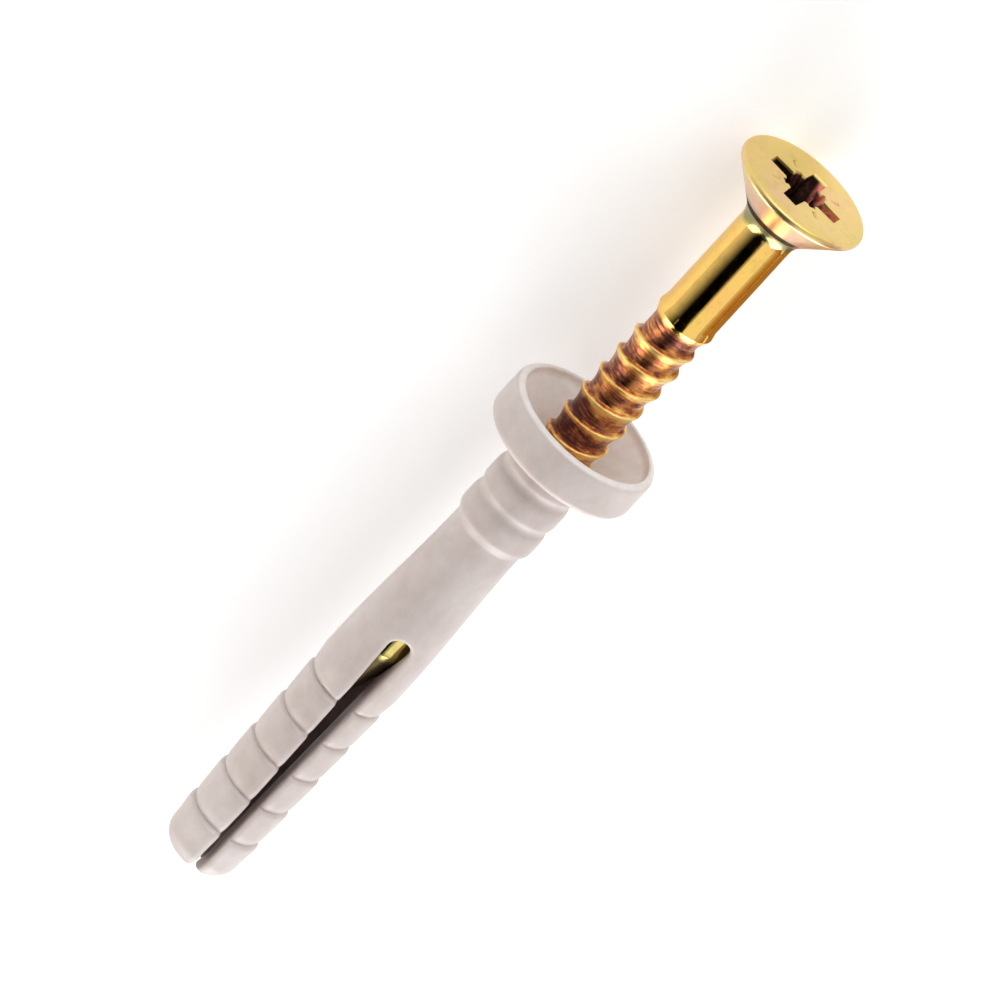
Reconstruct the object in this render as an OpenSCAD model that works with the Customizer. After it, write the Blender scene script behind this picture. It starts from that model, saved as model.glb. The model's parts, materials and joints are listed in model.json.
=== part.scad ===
// Hammer fixing: a slotted nylon plug with a collar, and the nail screw that waits in it
// to be driven home. Millimetres. The fixing lies on a table along X, its head towards +X,
// touching the table with the rim of the collar and the rim of the head.

/* [Plug] */
// Length of the plug, from its tip to the rim of its collar
plug_length = 35; // [32:0.5:60]
// Widest diameter of the expanding part, which fits the drilled hole
plug_d = 5; // [4.9:0.05:5.6]
// Wall of the barrel round the bore
barrel_wall = 0.3; // [0.2:0.05:0.4]
// Distance from the last barb to the short land where the plug is widest
land_gap = 1.36; // [0.8:0.02:2]
// Length of that land
land_h = 1.2; // [0.6:0.1:2]

/* [Collar] */
// Width of the rim round the collar's cup
rim_w = 0.5; // [0.3:0.05:1]
// Wall left beside the cup where the collar meets the neck above the rings
neck_wall = 0.425; // [0.3:0.025:0.5]
// Rounding of the outer edge of the collar's rim
rim_round = 0.4; // [0.1:0.05:0.5]
// Rounding of the lower edge of the collar
collar_round = 0.45; // [0.1:0.05:0.8]

/* [Rings under the collar] */
// Number of rings
ring_count = 2; // [1:1:3]
// Height of the rings over the barrel
ring_h = 0.275; // [0.15:0.025:0.4]
// Distance from one ring to the next
ring_pitch = 2.05; // [1.6:0.05:2.4]
// Height of the short neck between the top ring and the collar, as wide as the rings
ring_neck_h = 1.7; // [1:0.1:2.4]
// Rounding of the rings' lower edges
ring_foot_round = 0.35; // [0.1:0.05:0.5]
// Rounding of the rings' long upper edges
ring_top_round = 1; // [0.4:0.1:1.2]

/* [Barbs] */
// Number of barbs on the expanding part
barb_count = 5; // [2:1:5]
// Distance from one barb to the next
barb_pitch = 2.66; // [1.6:0.02:2.7]
// Distance from the tip to the first barb
barb_from_tip = 3; // [2.6:0.1:3.4]
// Height of the step at each barb
barb_step = 0.13; // [0.05:0.01:0.2]
// How far the barb nearest the tip stays inside the widest diameter
barb_tip_drop = 0.15; // [0.05:0.01:0.3]
// How far the barb nearest the collar stays inside the widest diameter
barb_top_drop = 0.04; // [0:0.01:0.1]
// Rounding of the plug's tip
tip_round = 1.2; // [0.6:0.1:1.2]

/* [Slot and bore] */
// Distance from the tip to the middle of the slot's round end
slot_length = 18.4; // [17.5:0.1:19.5]
// Width of the slot at the tip
slot_tip_w = 0.55; // [0.3:0.05:0.8]
// Width of the slot at its round end
slot_end_w = 1.35; // [1:0.05:1.6]
// Length of the narrow stretch of the slot, from the tip
slot_narrow_h = 5; // [2:0.5:12]
// Diameter of the narrow bore between the legs
leg_bore_d = 2; // [1:0.1:2]

/* [Nail screw] */
// How far the driven nail reaches past the plug's tip
nail_past_tip = 5; // [3:0.5:8]
// Height of the head above the collar's rim before the nail is driven
head_stand = 18.8; // [17:0.1:20]
// Diameter of the head
head_d = 8.2; // [7.8:0.1:9]
// Height of the head's rounded rim
head_rim_h = 0.4; // [0.3:0.05:0.6]
// Rounding of the rim's edges
head_round = 0.15; // [0.05:0.05:0.25]
// Angle of the countersink, from side to side
head_angle = 90; // [80:1:100]
// Rounding between the shank and the underside of the head
neck_round = 0.9; // [0.2:0.1:1.5]
// Diameter of the plain shank
shank_d = 3.4; // [3.1:0.05:3.6]
// Length of the plain shank, with its lower end
shank_h = 8.2; // [4:0.1:12]
// Height of the low lip round the shank's lower end
lip_h = 0.1; // [0.025:0.025:0.15]
// Length over which the lip rises from the shank
lip_run = 0.5; // [0.2:0.05:1]
// Length of the taper from the lip down to the thread's root
taper_l = 0.7; // [0.3:0.05:1.2]
// Length of the nail's point
point_l = 3.6; // [2:0.1:4]
// Diameter of the blunt end of the point
point_d = 0.5; // [0.2:0.1:1]

/* [Thread] */
// Diameter over the thread
thread_d = 3.55; // [3.3:0.05:3.6]
// Depth of the thread, from its crest to its root
thread_depth = 0.275; // [0.15:0.025:0.4]
// Pitch of the thread
thread_pitch = 1.53; // [1:0.01:2]
// Direction in which the thread starts at the point
thread_turn = 110; // [0:5:360]

/* [Cross recess] */
// Span of the cross across the head
cross_span = 4.8; // [3.6:0.1:5.2]
// Span of the cross at its floor
cross_floor_span = 2.2; // [1.6:0.1:2.6]
// Width of the arms of the cross
cross_arm_w = 1.15; // [0.8:0.05:1.4]
// Depth of the recess
cross_depth = 2.4; // [2:0.1:2.6]
// Diameter of the round middle of the cross
cross_core_d = 2.6; // [2:0.1:3]
// Diameter of the round middle at the floor
cross_core_floor_d = 1.2; // [0.8:0.1:1.6]
// Span of the small cross between the arms
rib_span = 3; // [2.8:0.1:3.4]
// Span of the small cross at its floor
rib_floor_span = 1.4; // [1:0.1:1.8]
// Width of the small cross
rib_w = 0.46; // [0.3:0.02:0.6]
// Depth of the small cross
rib_depth = 1.9; // [1:0.1:2]
// Distance of the tick marks from the middle of the head
tick_from_middle = 2.1; // [1.9:0.1:2.6]
// Length of the tick marks
tick_l = 0.6; // [0.3:0.05:0.8]
// Width of the tick marks across their mouth
tick_w = 0.28; // [0.1:0.02:0.4]
// Turn of the cross against the slot
cross_turn = -26; // [-45:1:45]

/* [Clearances] */
// Gap between the widest part of the nail below its neck and the plug's bore
bore_clearance = 0.05; // [0.03:0.01:0.1]
// Gap between the driven head and the collar's cup, all round
head_clearance = 0.1; // [0.05:0.01:0.15]
// Gap between the nail's point and the narrowing of the bore
point_clearance = 0.1; // [0.05:0.01:0.3]

/* [Hidden] */
$fn = 96;

// diameters that follow from the nail outwards: the bore takes the nail, the barrel is
// the bore's wall, the rings stand on the barrel, and the cup takes the driven head
lip_d = shank_d + 2 * lip_h;
root_d = thread_d - 2 * thread_depth;
bore_d = max(thread_d, lip_d) + 2 * bore_clearance;
barrel_d = bore_d + 2 * barrel_wall;
ring_d = barrel_d + 2 * ring_h;
cup_d = head_d + 2 * head_clearance;
collar_d = cup_d + 2 * rim_w;
barb_tip_d = plug_d - 2 * barb_tip_drop;
barb_top_d = plug_d - 2 * barb_top_drop;

// the collar is as high as its cup needs to leave the wall of the neck above the rings
cone_slope = tan(head_angle / 2);
collar_h = head_rim_h + (cup_d / 2 - (ring_d / 2 - neck_wall)) / cone_slope;

// fillets, each limited by the wall that it rounds
rim_fillet = min(rim_round, 0.8 * rim_w);
collar_fillet = min(collar_round, 0.8 * (collar_h - rim_fillet));
ring_foot_fillet = min(ring_foot_round, 0.25 * ring_pitch);
ring_top_fillet = min(ring_top_round, 0.5 * ring_pitch);
tip_fillet = min(tip_round, barb_tip_d / 2 - barb_step - leg_bore_d / 2);
head_fillet = min(head_round, 0.45 * head_rim_h);

// heights along the fixing's own axis, from the tip of the plug
rim_z = plug_length;
collar_z = rim_z - collar_h;
neck_foot_z = collar_z - ring_neck_h;
rings_z = neck_foot_z - ring_count * ring_pitch;
land_z = barb_from_tip + (barb_count - 1) * barb_pitch + land_gap;
land_top_z = land_z + land_h;
head_top_z = rim_z + head_stand;
nail_tip_z = head_stand - nail_past_tip;
head_cone_h = (head_d - shank_d) / 2 / cone_slope;
neck_z = head_top_z - head_rim_h - head_cone_h;
shank_z = neck_z - shank_h;
thread_z = nail_tip_z + point_l;

// the cup takes the driven head flush with the rim
cup_cone_top_z = rim_z - head_rim_h;
cup_z = cup_cone_top_z - (cup_d - bore_d) / 2 / cone_slope;

// the core under the thread lies a little inside the thread's root, and the bore narrows
// beside the point at the point's own slope
core_gap = 0.03;
core_d = root_d - 2 * core_gap;
point_slope = (core_d - point_d) / 2 / point_l;
narrow_top_z = nail_tip_z + ((bore_d - point_d) / 2 - point_clearance) / point_slope;
narrow_z = narrow_top_z - (bore_d - leg_bore_d) / 2 / point_slope;

// how the fixing comes to rest: the line that touches the rounded edges of collar and head
collar_edge = [rim_z - rim_fillet, collar_d / 2 - rim_fillet];
head_edge = [head_top_z - head_rim_h + head_fillet, head_d / 2 - head_fillet];
edge_run = head_edge - collar_edge;
rest_tilt = atan(-edge_run[1] / edge_run[0]) + asin((rim_fillet - head_fillet) / norm(edge_run));
rest_z = collar_edge[1] * cos(rest_tilt) + collar_edge[0] * sin(rest_tilt) + rim_fillet;
tip_flat_d = barb_tip_d - 2 * (barb_step + tip_fillet);
head_flat_d = head_d - 2 * head_fillet;
reach_max = head_top_z * cos(rest_tilt) + head_flat_d / 2 * sin(rest_tilt);
reach_min = -tip_flat_d / 2 * sin(rest_tilt);
rest_x = -(reach_max + reach_min) / 2;

// how many steps draw one turn of the thread, and where its flanks lie in one pitch:
// root, start and end of the crest, root again, as shares of the pitch from the tip's side
turn_steps = 32;
flanks = [0, 0.66, 0.76, 0.92];
fade_in_turns = 0.75;
fade_out_turns = 0.3;

eps = 0.01;

// smooth step from 0 to 1
function ease(u) = u * u * (3 - 2 * u);

// radius over barb i, counted from the tip, and its height
function barb_r(i) = (barb_tip_d + (barb_top_d - barb_tip_d) * i / (barb_count - 1)) / 2;
function barb_z(i) = barb_from_tip + barb_pitch * i;

// a four-cornered patch as two triangles
function two_triangles(a, b, c, d) = [[a, b, c], [a, c, d]];

// lays a piece that is drawn upright down on the table, with the slot upwards
module lie_down() {
    translate([rest_x, 0, rest_z])
        rotate([0, 90 + rest_tilt, 0])
            children();
}

// half section of a disc with rounded edges below and above
module disc_profile(d, z0, z1, round_below, round_above) {
    r = d / 2;
    translate([0, z0])
        square([r - round_below, z1 - z0 - round_above]);
    translate([0, z0 + round_below])
        square([r - round_above, z1 - z0 - round_below]);
    translate([0, z0 + round_below])
        square([r, z1 - z0 - round_below - round_above]);
    translate([r - round_below, z0 + round_below])
        circle(r = round_below);
    translate([r - round_above, z1 - round_above])
        circle(r = round_above);
}

// half section of the barbed legs and the barrel: each barb's edge faces the collar,
// and the barrel swells smoothly from the rings down to the land
module body_profile() {
    tip_r = barb_r(0) - barb_step;
    steps = 12;
    teeth = [for (i = [0 : barb_count - 1])
        each [
            [barb_r(i), barb_z(i)],
            [barb_r(min(i + 1, barb_count - 1)) - barb_step, barb_z(i) + eps]
        ]];
    swell = [for (k = [0 : steps])
        [
            (plug_d - (plug_d - barrel_d) * ease(k / steps)) / 2,
            land_top_z + (rings_z - land_top_z) * k / steps
        ]];
    polygon(concat(
        [[0, 0], [tip_r - tip_fillet, 0], [tip_r - tip_fillet, tip_fillet], [tip_r, tip_fillet]],
        teeth,
        [[plug_d / 2, land_z]],
        swell,
        [[barrel_d / 2, collar_z + eps], [0, collar_z + eps]]
    ));
    intersection() {
        translate([tip_r - tip_fillet, tip_fillet])
            circle(r = tip_fillet);
        square([tip_r, 2 * tip_fillet]);
    }
}

// half section of one ring: a short round foot, and a long round top that meets the barrel
// where the next ring starts
module ring_profile(z) {
    top_run = sqrt(pow(ring_top_fillet, 2) - pow(ring_top_fillet - ring_h, 2));
    top_z = z + ring_pitch + ring_top_fillet - top_run;
    disc_profile(ring_d, z, top_z, ring_foot_fillet, ring_top_fillet);
}

// half section of the neck that runs up into the collar and carries it
module neck_profile() {
    into_collar = ring_foot_fillet + eps;
    disc_profile(ring_d, neck_foot_z, collar_z + into_collar, ring_foot_fillet, ring_foot_fillet);
}

// half section of what is hollow along the axis: cup, bore, narrowing and leg bore
module hollow_profile() {
    polygon([
        [0, -eps],
        [leg_bore_d / 2, -eps],
        [leg_bore_d / 2, narrow_z],
        [bore_d / 2, narrow_top_z],
        [bore_d / 2, cup_z],
        [cup_d / 2, cup_cone_top_z],
        [cup_d / 2, rim_z + eps],
        [0, rim_z + eps]
    ]);
}

// slot through both sides, narrow at the tip and opening to its round end
module slot() {
    rotate([90, 0, 90])
        translate([0, 0, -plug_d])
            linear_extrude(2 * plug_d) {
                polygon([
                    [-slot_tip_w / 2, -eps],
                    [slot_tip_w / 2, -eps],
                    [slot_tip_w / 2, slot_narrow_h],
                    [slot_end_w / 2, slot_length],
                    [-slot_end_w / 2, slot_length],
                    [-slot_tip_w / 2, slot_narrow_h]
                ]);
                translate([0, slot_length])
                    circle(d = slot_end_w);
            }
}

// one moulding: slotted barbed legs, barrel, rings and the cupped collar
module plug() {
    color([0.86, 0.83, 0.81])
        lie_down()
            difference() {
                rotate_extrude() {
                    body_profile();
                    for (i = [0 : ring_count - 1])
                        ring_profile(rings_z + i * ring_pitch);
                    neck_profile();
                    disc_profile(collar_d, collar_z, rim_z, collar_fillet, rim_fillet);
                }
                rotate_extrude()
                    hollow_profile();
                slot();
            }
}

// half section of the nail without its thread: point, core, the shank with the lip and
// taper of its lower end, and the countersunk head on its rounded neck
module nail_profile() {
    steps = 8;
    turn = head_angle / 2;
    neck_centre = [shank_d / 2 + neck_round, neck_z - neck_round * tan(turn / 2)];
    neck = [for (k = [0 : steps])
        let (a = 180 - turn * k / steps)
            neck_centre + neck_round * [cos(a), sin(a)]];
    polygon(concat(
        [
            [0, nail_tip_z],
            [point_d / 2, nail_tip_z],
            [core_d / 2, thread_z],
            [core_d / 2, shank_z],
            [lip_d / 2, shank_z + taper_l],
            [shank_d / 2, shank_z + taper_l + lip_run]
        ],
        neck,
        [
            [head_d / 2 - head_fillet, head_top_z - head_rim_h + eps],
            [0, head_top_z - head_rim_h + eps]
        ]
    ));
    disc_profile(head_d, head_top_z - head_rim_h, head_top_z, head_fillet, head_fillet);
}

// blade of the recess, tapering from its span at the top to its span at the floor
module wing(top_span, floor_span, w, depth) {
    rotate([90, 0, 0])
        translate([0, 0, -w / 2])
            linear_extrude(w)
                polygon([
                    [-floor_span / 2, -depth],
                    [floor_span / 2, -depth],
                    [top_span / 2, eps],
                    [-top_span / 2, eps]
                ]);
}

// a cross of four arms that narrow with depth, a small cross between them, and tick marks
module cross_recess() {
    translate([0, 0, -cross_depth])
        cylinder(h = cross_depth + eps, d1 = cross_core_floor_d, d2 = cross_core_d);
    for (turn = [0, 90])
        rotate(turn) {
            wing(cross_span, cross_floor_span, cross_arm_w, cross_depth);
            rotate(45)
                wing(rib_span, rib_floor_span, rib_w, rib_depth);
        }
    for (turn = [45 : 90 : 315])
        rotate(turn)
            translate([tick_from_middle, 0, 0])
                rotate([45, 0, 0])
                    cube([tick_l, tick_w / sqrt(2), tick_w / sqrt(2)], center = true);
}

// right-hand drive thread: a gentle flank towards the point and a steep one towards the head
module thread() {
    turns = (shank_z - thread_z) / thread_pitch - flanks[2];
    last = floor(turns * turn_steps);
    row = len(flanks);
    root_r = root_d / 2;
    points = [for (s = [0 : last])
        let (
            fade_in = min(1, s / (fade_in_turns * turn_steps)),
            fade_out = min(1, (last - s) / (fade_out_turns * turn_steps)),
            crest_r = root_r + thread_depth * min(fade_in, fade_out),
            a = thread_turn + 360 * s / turn_steps
        )
        for (f = [0 : row - 1])
            let (r = f == 1 || f == 2 ? crest_r : root_r)
                [r * cos(a), r * sin(a), thread_z + thread_pitch * (s / turn_steps + flanks[f])]];
    foot = len(points);
    crown = foot + 1;
    axis_points = [[0, 0, thread_z], [0, 0, shank_z]];
    flank_faces = [for (s = [0 : last - 1])
        for (f = [0 : row - 2])
            each two_triangles(s * row + f, s * row + f + 1, (s + 1) * row + f + 1, (s + 1) * row + f)];
    root_faces = [for (s = [0 : last - turn_steps - 1])
        each two_triangles(s * row + row - 1, (s + turn_steps) * row,
            (s + turn_steps + 1) * row, (s + 1) * row + row - 1)];
    foot_faces = concat(
        [for (s = [0 : turn_steps - 1]) [foot, s * row, (s + 1) * row]],
        [for (f = [0 : row - 2]) [foot, f + 1, f]],
        [[foot, turn_steps * row, row - 1]]
    );
    top = last - turn_steps;
    crown_faces = concat(
        [for (s = [top : last - 1]) [crown, (s + 1) * row + row - 1, s * row + row - 1]],
        [for (f = [0 : row - 2]) [crown, last * row + f, last * row + f + 1]],
        [[crown, top * row + row - 1, last * row]]
    );
    polyhedron(concat(points, axis_points), concat(flank_faces, root_faces, foot_faces, crown_faces));
}

// one steel piece: countersunk head with its recess, plain shank, thread and point
module nail_screw() {
    color([0.83, 0.62, 0.25])
        lie_down()
            difference() {
                union() {
                    rotate_extrude()
                        nail_profile();
                    thread();
                }
                translate([0, 0, head_top_z])
                    rotate(cross_turn)
                        cross_recess();
            }
}

plug();
nail_screw();
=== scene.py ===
"""Looks of the hammer fixing: fine meshes of the nylon plug and of the yellow-passivated nail
screw, their materials, a white table, soft studio light and the photograph's camera.

Both pieces are drawn upright along the fixing's own axis, from the plug's tip at z = 0 to the
nail's head, in millimetres, and are then laid down where the frame has them."""

import json
import math

import bmesh
import bpy
from mathutils import Matrix, Vector, noise


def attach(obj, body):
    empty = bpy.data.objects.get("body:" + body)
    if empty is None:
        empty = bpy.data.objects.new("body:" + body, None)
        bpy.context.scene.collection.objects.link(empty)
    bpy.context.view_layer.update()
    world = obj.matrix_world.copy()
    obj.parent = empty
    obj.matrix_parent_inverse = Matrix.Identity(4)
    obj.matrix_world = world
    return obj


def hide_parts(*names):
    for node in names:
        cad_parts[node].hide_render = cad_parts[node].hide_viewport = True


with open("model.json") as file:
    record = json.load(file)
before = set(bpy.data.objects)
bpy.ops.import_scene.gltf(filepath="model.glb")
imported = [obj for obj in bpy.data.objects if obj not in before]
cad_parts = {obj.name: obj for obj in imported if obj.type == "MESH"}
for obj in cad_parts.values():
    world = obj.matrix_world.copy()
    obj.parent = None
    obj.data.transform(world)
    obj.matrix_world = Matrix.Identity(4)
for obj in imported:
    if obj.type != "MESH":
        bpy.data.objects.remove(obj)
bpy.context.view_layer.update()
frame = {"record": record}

MM = 0.001
PHOTO_WIDTH = 1000

# Sizes of the plug, in millimetres
PLUG_LENGTH = 35.0
PLUG_R = 2.5
BARREL_R = 2.15
LAND_H = 1.2
LAND_GAP = 1.36
TIP_ROUND = 1.2
BARB_COUNT = 5
BARB_PITCH = 2.66
BARB_FROM_TIP = 3.0
BARB_STEP = 0.13
BARB_TIP_DROP = 0.15
BARB_TOP_DROP = 0.04
RING_COUNT = 2
RING_R = 2.425
RING_PITCH = 2.05
RING_NECK_H = 1.7
RING_FOOT_ROUND = 0.35
RING_TOP_ROUND = 1.0
COLLAR_R = 4.7
COLLAR_H = 2.6
COLLAR_ROUND = 0.45
RIM_ROUND = 0.4
CUP_R = 4.2
BORE_R = 1.85
LEG_BORE_R = 1.0
POINT_GAP = 0.1
SLOT_LENGTH = 18.4
SLOT_TIP_W = 0.55
SLOT_END_W = 1.35
SLOT_NARROW_H = 5.0

# Sizes of the nail screw, in millimetres
NAIL_LENGTH = 40.0
HEAD_STAND = 18.8
HEAD_R = 4.1
HEAD_RIM_H = 0.4
SHANK_R = 1.7
SHANK_H = 8.2
LIP_R = 1.8
LIP_RUN = 0.5
TAPER_L = 0.7
POINT_L = 3.6
POINT_R = 0.25
THREAD_R = 1.775
THREAD_DEPTH = 0.275
THREAD_PITCH = 1.53
THREAD_TURN = math.radians(110)
FADE_IN_TURNS = 0.75
FADE_OUT_TURNS = 0.3
CROSS_SPAN = 4.8
CROSS_FLOOR_SPAN = 2.2
CROSS_ARM_W = 1.15
CROSS_DEPTH = 2.4
CROSS_CORE_R = 1.3
CROSS_CORE_FLOOR_R = 0.6
RIB_SPAN = 3.0
RIB_FLOOR_SPAN = 1.4
RIB_W = 0.46
RIB_DEPTH = 1.9
TICK_FROM_MIDDLE = 2.1
TICK_L = 0.6
TICK_W = 0.28
CROSS_TURN = math.radians(-26)

# Softening and wear that the solids lack or have less of, in millimetres
BARB_SOFT = 0.17
BARB_GROOVE = 0.15
BARB_GROOVE_W = 0.14
RING_SOFT = 0.26
COLLAR_FOOT_ROUND = 0.12
CUP_EDGE_ROUND = 0.09
CUP_FLOOR_ROUND = 0.5
MOUTH_ROUND = 0.25
MOUTH_RUN = 1.0
TIP_MOUTH_R = 0.6
SLOT_OUTER_ROUND = 0.3
SLOT_INNER_ROUND = 0.04
POINT_TIP_ROUND = 0.08
POINT_END_ROUND = 0.5
POINT_END_GAP = 0.05
LIP_ROUND = 0.12
LIP_END_ROUND = 0.6
NECK_ROUND = 1.5
HEAD_ROUND = 0.25
HEAD_RIM_DRAFT = 0.02
CROSS_END_W = 0.95
RECESS_EDGE_ROUND = 0.05

# Most of the plug's wall that the round edges of the slot may take, as shares of it
OUTER_WALL_SHARE = 0.4
INNER_WALL_SHARE = 0.2

# The thread over one pitch, in shares of a pitch: where its gentle flank, its crest and its steep
# flank end, and where its points lie
GENTLE_END = 0.7
CREST_END = 0.735
ROOT_AGAIN = 0.85
FLANK_STEPS = (
    0, 0.12, 0.24, 0.35, 0.45, 0.53, 0.6, 0.65, 0.68, GENTLE_END,
    CREST_END, 0.75, 0.77, 0.79, 0.81, 0.83, ROOT_AGAIN, 0.92)

# How far the thread's crest wanders: in height as a share of its depth, along the nail in pitches,
# and how often in a turn
CREST_UNEVEN = 0.14
CREST_DRIFT = 0.035
UNEVEN_PER_TURN = 9
DRIFT_PER_TURN = 5
DRIFT_SEED = 7

# Heights along the fixing's axis, and a radius and a slope, that follow from the sizes
COLLAR_Z = PLUG_LENGTH - COLLAR_H
NECK_FOOT_Z = COLLAR_Z - RING_NECK_H
RINGS_Z = NECK_FOOT_Z - RING_COUNT * RING_PITCH
LAND_Z = BARB_FROM_TIP + (BARB_COUNT - 1) * BARB_PITCH + LAND_GAP
LAND_TOP_Z = LAND_Z + LAND_H
CUP_CONE_Z = PLUG_LENGTH - HEAD_RIM_H
CUP_Z = CUP_CONE_Z - (CUP_R - BORE_R)
HEAD_TOP_Z = PLUG_LENGTH + HEAD_STAND
NAIL_TIP_Z = HEAD_TOP_Z - NAIL_LENGTH
NECK_Z = HEAD_TOP_Z - HEAD_RIM_H - (HEAD_R - SHANK_R)
SHANK_Z = NECK_Z - SHANK_H
THREAD_Z = NAIL_TIP_Z + POINT_L
ROOT_R = THREAD_R - THREAD_DEPTH
POINT_SLOPE = (ROOT_R - POINT_R) / POINT_L
NARROW_TOP_Z = NAIL_TIP_Z + (BORE_R - POINT_R - POINT_GAP) / POINT_SLOPE
NARROW_Z = NARROW_TOP_Z - (BORE_R - LEG_BORE_R) / POINT_SLOPE

# How finely the meshes are drawn: columns round the axis, and steps along each stretch or arc
HALF_COLUMNS = 72
NAIL_COLUMNS = 96
CORE_COLUMNS = 48
TIP_STEPS = 14
FIRST_RAMP_STEPS = 5
BARB_STEPS = 12
RAMP_STEPS = 6
LAND_STEPS = 10
SLOT_END_STEPS = 16
OUTER_EDGE_STEPS = 5
FLAT_SIDE_SHARES = (0.33, 0.67)
INNER_EDGE_STEPS = 3
BARREL_STEPS = 16
RING_STEPS = 70
RING_SOFT_STEPS = 10
COLLAR_ARC_STEPS = 9
BORE_STEPS = 8
POINT_ARC_STEPS = 7
BODY_ARC_STEPS = 10
RECESS_EDGE_STEPS = 3

# How far the recess cutters reach above the head and how near points count as one, in millimetres,
# and the angles at which an edge counts as sharp
CUT_ABOVE = 0.2
WELD_MM = 1e-5
TOP_TOLERANCE = 1e-3
SMOOTH_BELOW = math.radians(38)
RECESS_SHARP = math.radians(20)

# The fixing's own frame, from the mount at the top of the head: z runs from the plug's tip to
# the head, the slot opens along x, and y is level
recess = next(m for m in frame["record"]["mounts"] if m["name"] == "driver_recess")
AXIS = Vector(recess["axis"]).normalized()
LEVEL = Vector((0, 1, 0))
UPWARD = AXIS.cross(LEVEL)
TIP = Vector(recess["pos_m"]) - AXIS * HEAD_TOP_Z * MM
LIE_DOWN = Matrix((-UPWARD, LEVEL, AXIS)).transposed().to_4x4()
LIE_DOWN.translation = TIP


def ease(u):
    """Smooth step from 0 to 1."""
    u = min(1.0, max(0.0, u))
    return u * u * (3 - 2 * u)


def spread(a, b, count):
    """Evenly spaced values from a to b, both included."""
    return [a + (b - a) * k / count for k in range(count + 1)]


def filleted(corners, steps):
    """Points (r, z) along a line through corners (r, z, rounding), each rounded by an arc."""
    points = [corners[0][:2]]
    for before, (r, z, rounding), after in zip(corners, corners[1:], corners[2:]):
        corner = Vector((r, z))
        back = (Vector(before[:2]) - corner).normalized()
        onward = (Vector(after[:2]) - corner).normalized()
        half = back.angle(onward) / 2
        if rounding == 0:
            points.append((r, z))
            continue
        centre = corner + (back + onward).normalized() * rounding / math.sin(half)
        start = corner + back * rounding / math.tan(half) - centre
        end = corner + onward * rounding / math.tan(half) - centre
        turn = math.pi - 2 * half
        for u in spread(0, 1, steps):
            spoke = start * math.sin((1 - u) * turn) + end * math.sin(u * turn)
            points.append(tuple(centre + spoke / math.sin(turn)))
    points.append(corners[-1][:2])
    return points


def new_piece(name, mesh_builder, material, body, node):
    """A piece made of a bmesh in the fixing's own frame, laid down and fitted to its body."""
    mesh = bpy.data.meshes.new(name)
    mesh_builder.transform(Matrix.Scale(MM, 4))
    mesh_builder.transform(LIE_DOWN)
    bmesh.ops.recalc_face_normals(mesh_builder, faces=mesh_builder.faces)
    mesh_builder.to_mesh(mesh)
    mesh_builder.free()
    piece = bpy.data.objects.new(name, mesh)
    bpy.context.scene.collection.objects.link(piece)
    piece.data.materials.append(material)
    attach(piece, body)
    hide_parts(node)
    return piece


def bridge(bm, row_a, row_b):
    """Quads between two rows of as many vertices."""
    for k in range(len(row_a) - 1):
        bm.faces.new((row_a[k], row_a[k + 1], row_b[k + 1], row_b[k]))


# Plug

def barb_r(i):
    """Radius over barb i, counted from the tip."""
    drop = BARB_TIP_DROP + (BARB_TOP_DROP - BARB_TIP_DROP) * i / (BARB_COUNT - 1)
    return PLUG_R - drop


def barb_z(i):
    """Height of the step of barb i."""
    return BARB_FROM_TIP + BARB_PITCH * i


def ramp_r(i, z):
    """Radius of the gentle ramp that rises towards barb i, or to the land after the last one."""
    if i == 0:
        return barb_r(0) - BARB_STEP + BARB_STEP * ease((z - TIP_ROUND) / (barb_z(0) - TIP_ROUND))
    if i == BARB_COUNT:
        foot = barb_r(BARB_COUNT - 1) - BARB_STEP
        return foot + (PLUG_R - foot) * min(1, (z - barb_z(BARB_COUNT - 1)) / LAND_GAP)
    return barb_r(i) - BARB_STEP + BARB_STEP * (z - barb_z(i - 1)) / BARB_PITCH


def leg_r(z):
    """Outer radius of the plug below its rings: round tip, barbs, land and the slimming barrel."""
    tip_r = barb_r(0) - BARB_STEP
    if z < TIP_ROUND:
        return tip_r - TIP_ROUND + math.sqrt(TIP_ROUND ** 2 - (TIP_ROUND - z) ** 2)
    if z > LAND_Z:
        share = ease((z - LAND_TOP_Z) / (RINGS_Z - LAND_TOP_Z))
        return PLUG_R - (PLUG_R - BARREL_R) * share
    nearest = min(range(BARB_COUNT), key=lambda i: abs(z - barb_z(i)))
    blend = ease((z - barb_z(nearest)) / BARB_SOFT + 0.5)
    from_groove = (z - barb_z(nearest) - BARB_SOFT / 2) / BARB_GROOVE_W
    groove = BARB_GROOVE * math.exp(-from_groove ** 2)
    return (1 - blend) * ramp_r(nearest, z) + blend * ramp_r(nearest + 1, z) - groove


def hollow_r(z):
    """Inner radius of the plug below its cup."""
    if z > NARROW_TOP_Z:
        return BORE_R
    if z < TIP_ROUND:
        return TIP_MOUTH_R + (LEG_BORE_R - TIP_MOUTH_R) * ease(z / TIP_ROUND)
    return max(LEG_BORE_R, BORE_R - (NARROW_TOP_Z - z) * POINT_SLOPE)


def slot_half_w(z):
    """Half the width of the slot at a height below its round end."""
    share = max(0, (z - SLOT_NARROW_H) / (SLOT_LENGTH - SLOT_NARROW_H))
    return (SLOT_TIP_W + (SLOT_END_W - SLOT_TIP_W) * share) / 2


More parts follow.
